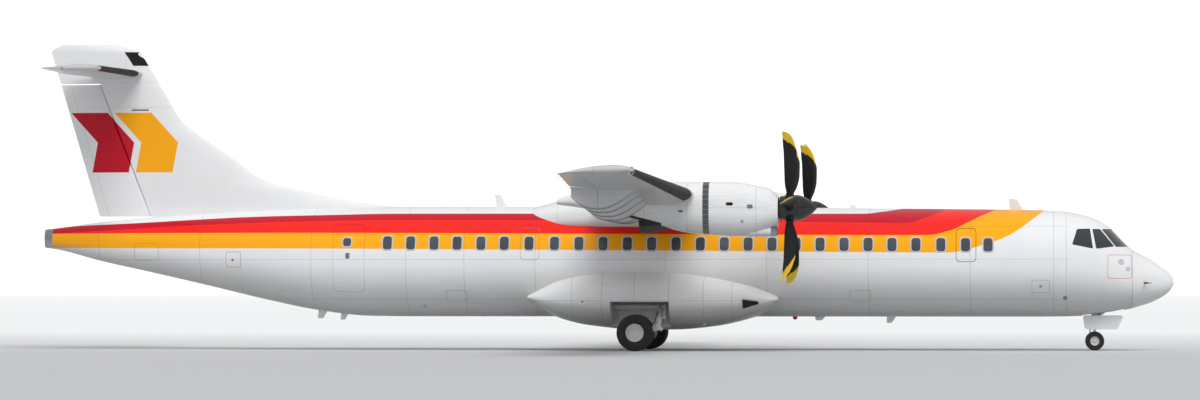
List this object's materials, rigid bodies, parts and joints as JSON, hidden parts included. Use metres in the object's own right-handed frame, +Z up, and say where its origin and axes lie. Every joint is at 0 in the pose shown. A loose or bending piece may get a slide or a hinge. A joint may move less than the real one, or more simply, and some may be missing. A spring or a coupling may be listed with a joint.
{
  "type": "turboprop airliner",
  "caption": "High-wing regional airliner with a T-tail, engines under the wing driving bladed propellers, and a tricycle gear with twin wheels; it stands on its wheels",
  "frame": {"origin": "on the ground under the middle of the length, in the plane of symmetry", "axes": "+X forward to the nose, +Y to the left wing tip, +Z up"},
  "size_m": [27.166, 27.05, 7.375],
  "materials": {
    "white_paint": "gloss",
    "grey_paint": "satin",
    "white_composite": "gloss",
    "grey_composite": "satin",
    "engine_steel": "satin",
    "gear_paint": "satin",
    "bare_metal": "satin",
    "polished_steel": "polished",
    "boot_rubber": "satin",
    "blade_black": "satin",
    "glazing": "gloss",
    "tyre": "matte"
  },
  "bodies": {
    "airframe": {"fuselage": "white_paint", "rear_fuselage": "white_composite", "service_door": "white_paint", "windscreen_band": "glazing", "radome": "white_composite", "tail_cone": "bare_metal", "belly_fairing": "white_composite", "wing_centre": "grey_paint", "wing_fairing": "white_composite", "wing_right": "grey_paint", "wing_left": "grey_paint", "wing_boot_right": "boot_rubber", "wing_boot_left": "boot_rubber", "nacelle_right": "white_composite", "nacelle_left": "white_composite", "engine_right": "engine_steel", "engine_left": "engine_steel", "fin": "white_composite", "fin_head": "white_composite", "tailplane": "grey_composite", "main_leg_right": "gear_paint", "main_leg_left": "gear_paint", "nose_strut": "gear_paint", "nose_door_right": "white_paint", "nose_door_left": "white_paint"},
    "propeller_right": {"propeller_right": "blade_black", "spinner_right": "blade_black"},
    "propeller_left": {"propeller_left": "blade_black", "spinner_left": "blade_black"},
    "main_wheel_pair_right": {"main_wheels_right": "gear_paint", "main_tyre_inner_right": "tyre", "main_tyre_outer_right": "tyre"},
    "main_wheel_pair_left": {"main_wheels_left": "gear_paint", "main_tyre_inner_left": "tyre", "main_tyre_outer_left": "tyre"},
    "nose_steering": {"nose_fork": "polished_steel"},
    "nose_wheel_pair": {"nose_wheels": "gear_paint", "nose_tyre_right": "tyre", "nose_tyre_left": "tyre"},
    "passenger_door": {"passenger_door": "white_paint"},
    "cargo_door": {"cargo_door": "white_paint"},
    "rudder": {"rudder": "white_composite"},
    "elevator_right": {"elevator_right": "grey_composite"},
    "elevator_left": {"elevator_left": "grey_composite"},
    "aileron_right": {"aileron_right": "grey_composite"},
    "aileron_left": {"aileron_left": "grey_composite"},
    "outer_flap_right": {"outer_flap_right": "grey_composite"},
    "outer_flap_left": {"outer_flap_left": "grey_composite"},
    "inner_flap_right": {"inner_flap_right": "grey_composite"},
    "inner_flap_left": {"inner_flap_left": "grey_composite"}
  },
  "joints": [
    {"name": "propeller_spin_right", "type": "hinge", "parent": "airframe", "child": "propeller_right", "pos_m": [4.7, -4.05, 3.33], "axis": [1, 0, 0], "continuous": true},
    {"name": "propeller_spin_left", "type": "hinge", "parent": "airframe", "child": "propeller_left", "pos_m": [4.7, 4.05, 3.33], "axis": [1, 0, 0], "continuous": true},
    {"name": "main_wheel_roll_right", "type": "hinge", "parent": "airframe", "child": "main_wheel_pair_right", "pos_m": [0.95, -2.05, 0.43], "axis": [0, 1, 0], "continuous": true},
    {"name": "main_wheel_roll_left", "type": "hinge", "parent": "airframe", "child": "main_wheel_pair_left", "pos_m": [0.95, 2.05, 0.43], "axis": [0, 1, 0], "continuous": true},
    {"name": "nose_steer", "type": "hinge", "parent": "airframe", "child": "nose_steering", "pos_m": [11.72, 0, 0.6], "axis": [0, 0, 1], "range_deg": [-60, 60]},
    {"name": "nose_wheel_roll", "type": "hinge", "parent": "nose_steering", "child": "nose_wheel_pair", "pos_m": [11.72, 0, 0.225], "axis": [0, 1, 0], "continuous": true},
    {"name": "passenger_door_swing", "type": "hinge", "parent": "airframe", "child": "passenger_door", "pos_m": [-5.98, 1.19, 1.375], "axis": [-1, 0, 0], "range_deg": [0, 125]},
    {"name": "cargo_door_swing", "type": "hinge", "parent": "airframe", "child": "cargo_door", "pos_m": [9.5875, 1.14, 2.915], "axis": [1, 0, 0], "range_deg": [0, 100]},
    {"name": "rudder_swing", "type": "hinge", "parent": "airframe", "child": "rudder", "pos_m": [-11.077, 0, 3.176], "axis": [-0.3569, 0, 0.9341], "range_deg": [-27, 27]},
    {"name": "elevator_swing_right", "type": "hinge", "parent": "airframe", "child": "elevator_right", "pos_m": [-12.5, -1.95, 6.66], "axis": [0, 1, 0], "range_deg": [-13, 23]},
    {"name": "elevator_swing_left", "type": "hinge", "parent": "airframe", "child": "elevator_left", "pos_m": [-12.5, 1.95, 6.66], "axis": [0, 1, 0], "range_deg": [-13, 23]},
    {"name": "aileron_swing_right", "type": "hinge", "parent": "airframe", "child": "aileron_right", "pos_m": [0.66976, -11.245, 3.86166], "axis": [-0.0109, 0.9989, -0.0457], "range_deg": [-14, 14]},
    {"name": "aileron_swing_left", "type": "hinge", "parent": "airframe", "child": "aileron_left", "pos_m": [0.66976, 11.245, 3.86166], "axis": [0.0109, 0.9989, 0.0457], "range_deg": [-14, 14]},
    {"name": "outer_flap_swing_right", "type": "hinge", "parent": "airframe", "child": "outer_flap_right", "pos_m": [0.71317, -6.995, 3.11009], "axis": [0.0064, -0.9986, 0.0524], "range_deg": [0, 35]},
    {"name": "outer_flap_swing_left", "type": "hinge", "parent": "airframe", "child": "outer_flap_left", "pos_m": [0.71317, 6.995, 3.11009], "axis": [-0.0064, -0.9986, -0.0524], "range_deg": [0, 35]},
    {"name": "inner_flap_swing_right", "type": "hinge", "parent": "airframe", "child": "inner_flap_right", "pos_m": [0.69829, -2.475, 2.9881], "axis": [0, -1, 0], "range_deg": [0, 35]},
    {"name": "inner_flap_swing_left", "type": "hinge", "parent": "airframe", "child": "inner_flap_left", "pos_m": [0.69829, 2.475, 2.9881], "axis": [0, -1, 0], "range_deg": [0, 35]}
  ],
  "couplings": [
    {"joint": "elevator_swing_left", "follows": "elevator_swing_right", "ratio": 1},
    {"joint": "aileron_swing_left", "follows": "aileron_swing_right", "ratio": -1},
    {"joint": "outer_flap_swing_left", "follows": "outer_flap_swing_right", "ratio": 1},
    {"joint": "inner_flap_swing_right", "follows": "outer_flap_swing_right", "ratio": 1},
    {"joint": "inner_flap_swing_left", "follows": "outer_flap_swing_right", "ratio": 1}
  ]
}
